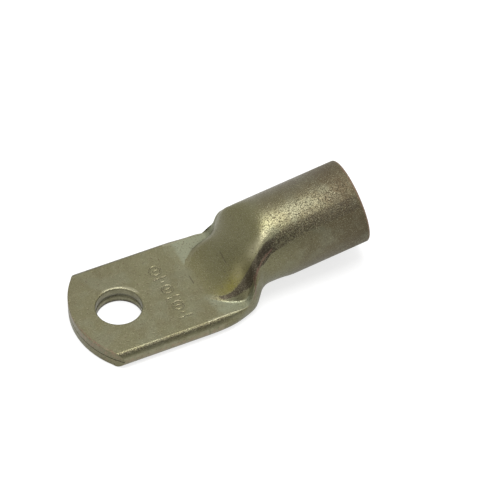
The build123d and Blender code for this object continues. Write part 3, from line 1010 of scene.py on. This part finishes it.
def scratch_group():
    """A thin line on the skin between two points, as a mask of the distance from it."""
    tree, nodes, start, end = new_group(
        "scratch", (("Place", "Vector"), ("Start", "Vector"), ("End", "Vector"),
                    ("Width", "Float")), (("Mask", "Float"),))
    whole = nodes.vector("SUBTRACT", start["End"], start["Start"])[0]
    here = nodes.vector("SUBTRACT", start["Place"], start["Start"])[0]
    share = nodes.maths("DIVIDE", nodes.vector("DOT_PRODUCT", here, whole)["Value"],
                        nodes.vector("DOT_PRODUCT", whole, whole)["Value"])
    share = nodes.maths("MINIMUM", nodes.maths("MAXIMUM", share, 0.0), 1.0)
    foot = nodes.add("ShaderNodeVectorMath", {"operation": "SCALE"}, i0=whole, Scale=share)
    away = nodes.vector("LENGTH", nodes.vector("SUBTRACT", here, foot.outputs[0])[0])["Value"]
    part = nodes.maths("DIVIDE", away, start["Width"])
    nodes.feed(end["Mask"], nodes.span(part, 0.3, 1.0, 1.0, 0.0))
    return tree


def new_material(name):
    """An empty material with its nodes and the socket that its surface goes to."""
    material = bpy.data.materials.new(name)
    material.use_nodes = True
    material.node_tree.nodes.clear()
    nodes = Nodes(material.node_tree)
    return material, nodes, nodes.add("ShaderNodeOutputMaterial").inputs["Surface"]


def plated_copper(colours):
    """Dull tin on copper: cloudy film, fine pitted grain, rubbed edges and bare cut copper, with
    painted shade, highlights and reflections laid into the colour.

    The colour is a pile of layers, each a mask, its strength and the colour that it lays over
    the ones below. Some masks are broken up by noise or by the light specks of the grain.
    """
    material, nodes, out = new_material("tinned_copper")
    broken, grained, scratched = broken_edge_group(), pitted_grain_group(), scratch_group()
    where = nodes.add("ShaderNodeTexCoord").outputs["Object"]
    along = nodes.add("ShaderNodeSeparateXYZ", None, Vector=where).outputs["X"]
    grain = nodes.group(grained, Place=where, Coarseness=0.001)
    cloud = nodes.noise(where, 190.0, 4.0, 0.55, 0.4)
    blotch = nodes.noise(where, 620.0, 3.0, 0.6)
    green = nodes.noise(where, 250.0, 2.0, 0.5)

    def broken_mask(name, scale, ragged):
        return nodes.group(broken, Place=where, Mask=nodes.mask(name), Scale=scale,
                           Ragged=ragged)["Mask"]

    def specked_mask(name, least):
        specks = nodes.span(grain["Light"], 0.0, 1.0, least, 1.0)
        return nodes.maths("MULTIPLY", nodes.mask(name), specks)

    haze = nodes.maths("MULTIPLY", nodes.span(cloud, 0.42, 0.66), 0.22)
    haze = nodes.maths("MULTIPLY_ADD", nodes.span(along, 0.025, 0.044), 0.86, haze)
    haze = nodes.maths("ADD", nodes.span(along, -0.008, 0.006, 0.13, 0.0), haze)
    grainy = nodes.span(along, 0.023, 0.040, 0.80, 1.0)
    layers = [
        (haze, 1.0, "tarnish"),
        (nodes.span(green, 0.46, 0.66), 0.22, "flange"),
        (nodes.span(blotch, 0.50, 0.72), 0.16, "bright"),
        (nodes.mask("brown"), 0.40, "tarnish"),
        (nodes.mask("dome"), 0.80, "golden"),
        # Pale flange film, and a painted bright reflection on the far side
        (broken_mask("pale_film_and_sheen", 420.0, 0.9), 0.72, "flange"),
        (specked_mask("gold", 0.45), 0.92, "patina"),
        # Painted shade, in a dark brown
        (broken_mask("film_and_shade", 4200.0, 1.5), 0.90, "film_and_shade"),
        # Painted highlight along the dome's ridge
        (specked_mask("crest_highlight", 0.6), 0.80, "painted_highlight"),
        (broken_mask("crease", 1900.0, 1.9), 0.80, "crease"),
        (grain["Dark"], grainy, "tarnish"),
        (grain["Light"], nodes.maths("MULTIPLY", grainy, 0.80), "bright"),
        # Rubbed edges and painted sheen
        (broken_mask("worn_and_sheen", 700.0, 0.9), 0.80, "bright"),
        (broken_mask("bare", 1500.0, 1.5), 0.50, "copper"),
    ]
    for start, end in SCRATCHES:
        line = nodes.group(scratched, Place=where, Start=start, End=end, Width=SCRATCH_WIDTH)
        layers.append((line["Mask"], 0.60, "film_and_shade"))
    layers.append((nodes.mask("gap"), 1.0, "gap"))
    skin = (*colours.plating, 1.0)
    for mask, strength, colour_name in layers:
        over = (*getattr(colours, colour_name), 1.0)
        skin = nodes.blend(nodes.maths("MULTIPLY", mask, strength), skin, over)

    roughness = colours.roughness
    for share, added in ((grain["Dark"], 0.12), (nodes.mask("gap"), 0.3),
                         (nodes.mask("pale_film_and_sheen"), 0.16), (nodes.span(along, 0.036, 0.046), 0.24)):
        roughness = nodes.maths("MULTIPLY_ADD", share, added, roughness)
    strength = nodes.maths("MULTIPLY", nodes.span(along, 0.023, 0.040, 0.42, 1.0), 0.75)
    bump = nodes.add("ShaderNodeBump", None, Height=grain["Height"], Strength=strength,
                     Distance=0.00009)
    surface = nodes.add("ShaderNodeBsdfPrincipled", None, Roughness=roughness, Metallic=0.9,
                        Normal=bump.outputs[0], Base_Color=skin, IOR=1.5)
    nodes.feed(out, surface.outputs[0])
    return material


def floor_material():
    """Pale floor that takes a faint shadow, lifted to white for the camera, less for mirrors."""
    material, nodes, out = new_material("studio_floor")
    matt = nodes.add("ShaderNodeBsdfDiffuse", None, Color=(FLOOR_GREY,) * 3 + (1.0,))
    path = nodes.add("ShaderNodeLightPath").outputs
    seen = nodes.maths("MAXIMUM", path["Is Camera Ray"], path["Is Transmission Ray"])
    lift = nodes.maths("MULTIPLY", seen, FLOOR_LIFT)
    lift = nodes.maths("MULTIPLY_ADD", path["Is Glossy Ray"], FLOOR_MIRRORED, lift)
    glow = nodes.add("ShaderNodeEmission", None, Strength=lift)
    both = nodes.add("ShaderNodeAddShader", None, i0=matt.outputs[0], i1=glow.outputs[0])
    nodes.feed(out, both.outputs[0])
    return material


def link_object(name, data):
    """A new object at the origin in the scene."""
    piece = bpy.data.objects.new(name, data)
    bpy.context.scene.collection.objects.link(piece)
    return piece


def direction(azimuth, elevation):
    """Unit vector towards a place at this height, at this turn from -Y towards +X."""
    return Vector((math.sin(azimuth) * math.cos(elevation),
                   -math.cos(azimuth) * math.cos(elevation), math.sin(elevation)))


class CABLE_LUG_OT_build_lug(bpy.types.Operator):
    """Builds the lug as one closed skin from its sizes and gives it its plating"""
    bl_idname = "cable_lug.build_lug"
    bl_label = "Build the lug"

    def execute(self, context):
        size = in_millimetres(context.scene.lug_sizes)
        mesh = build_mesh("lug_skin", *lug_surface(size))
        mesh.materials.append(plated_copper(context.scene.lug_colours))
        piece = link_object("lug_skin", mesh)
        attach(piece, BODY)
        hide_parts(NODE)
        return {"FINISHED"}


class CABLE_LUG_OT_build_studio(bpy.types.Operator):
    """Lays the pale floor and sets the soft light round the lug"""
    bl_idname = "cable_lug.build_studio"
    bl_label = "Build the studio"

    def execute(self, context):
        studio = context.scene.lug_studio
        low, high = (Vector(corner) for corner in CAD_BOX)
        below = low.z - FLOOR_DROP
        mesh = bpy.data.meshes.new("floor")
        mesh.from_pydata([(x * FLOOR_REACH, y * FLOOR_REACH, below)
                          for x, y in ((-1, -1), (1, -1), (1, 1), (-1, 1))], [], [(0, 1, 2, 3)])
        mesh.materials.append(floor_material())
        floor = link_object("floor", mesh)

        lamp = bpy.data.lights.new("softbox", "AREA")
        lamp.shape = "DISK"
        lamp.size = studio.softbox_size
        lamp.energy = studio.softbox * math.pi * math.pi * (studio.softbox_size / 2) ** 2
        panel = link_object("softbox", lamp)
        overhead = Vector(OVERHEAD)
        panel.location = (low + high) / 2 + overhead
        panel.rotation_euler = overhead.to_track_quat("Z", "Y").to_euler()
        self.light_room(context.scene, studio)
        return {"FINISHED"}

    def light_room(self, scene, studio):
        """An even pale room, darker in the part behind the camera that the metal mirrors."""
        world = bpy.data.worlds.new("studio_room")
        scene.world = world
        world.use_nodes = True
        world.node_tree.nodes.clear()
        nodes = Nodes(world.node_tree)
        way = nodes.add("ShaderNodeTexCoord").outputs["Generated"]
        dark = direction(math.radians(DARK_AZIMUTH), math.radians(DARK_ELEVATION))
        facing = nodes.vector("DOT_PRODUCT", nodes.vector("NORMALIZE", way)[0], dark)["Value"]
        room = nodes.span(facing, math.cos(math.radians(DARK_EDGE)),
                          math.cos(math.radians(DARK_CORE)), studio.sky, studio.dark_wall)
        path = nodes.add("ShaderNodeLightPath").outputs
        seen = nodes.maths("MAXIMUM", path["Is Camera Ray"], path["Is Transmission Ray"])
        strength = nodes.add("ShaderNodeMix", {"data_type": "FLOAT"}, i0=seen, i2=room, i3=1.0)
        back = nodes.add("ShaderNodeBackground", None, Strength=strength.outputs[0],
                         Color=(1.0, 1.0, 1.0, 1.0))
        out = nodes.add("ShaderNodeOutputWorld")
        nodes.feed(out.inputs["Surface"], back.outputs[0])


class CABLE_LUG_OT_set_camera(bpy.types.Operator):
    """Sets the camera at the viewing angle of the photograph"""
    bl_idname = "cable_lug.set_camera"
    bl_label = "Set the camera"

    def execute(self, context):
        studio = context.scene.lug_studio
        back = direction(studio.view_azimuth, studio.view_elevation)
        right = Vector((math.cos(studio.view_azimuth), math.sin(studio.view_azimuth), 0.0))
        lens = bpy.data.cameras.new("camera")
        lens.sensor_width = 36.0
        lens.lens = studio.lens
        lens.clip_start = 0.01
        camera = link_object("camera", lens)
        turn = Matrix((right, back.cross(right), back)).transposed().to_4x4()
        place = Matrix.Translation(Vector(AIM) + back * studio.view_distance)
        camera.matrix_world = place @ turn
        context.scene.camera = camera
        context.scene.view_settings.view_transform = "Standard"
        return {"FINISHED"}


class CABLE_LUG_PT_panel(bpy.types.Panel):
    """Lists the sizes, colours and studio settings, with the operators that use them"""
    bl_label = "Cable lug"
    bl_idname = "CABLE_LUG_PT_panel"
    bl_space_type = "VIEW_3D"
    bl_region_type = "UI"
    bl_category = "Cable lug"

    def draw(self, context):
        scene = context.scene
        for heading, group, operators in (
                ("Sizes", scene.lug_sizes, (CABLE_LUG_OT_build_lug,)),
                ("Plating", scene.lug_colours, ()),
                ("Studio", scene.lug_studio, (CABLE_LUG_OT_build_studio,
                                              CABLE_LUG_OT_set_camera))):
            box = self.layout.box()
            box.label(text=heading)
            for key in group.__annotations__:
                box.prop(group, key)
            for operator in operators:
                box.operator(operator.bl_idname)


CLASSES = (LugSizes, LugColours, StudioSettings, CABLE_LUG_OT_build_lug,
           CABLE_LUG_OT_build_studio, CABLE_LUG_OT_set_camera, CABLE_LUG_PT_panel)
SETTINGS = {"lug_sizes": LugSizes, "lug_colours": LugColours, "lug_studio": StudioSettings}


def register():
    for entry in CLASSES:
        bpy.utils.register_class(entry)
    for name, group in SETTINGS.items():
        setattr(bpy.types.Scene, name, PointerProperty(type=group))


def unregister():
    for name in SETTINGS:
        delattr(bpy.types.Scene, name)
    for entry in reversed(CLASSES):
        bpy.utils.unregister_class(entry)


def main():
    register()
    bpy.ops.cable_lug.build_lug()
    bpy.ops.cable_lug.build_studio()
    bpy.ops.cable_lug.set_camera()


if __name__ == "__main__":
    main()
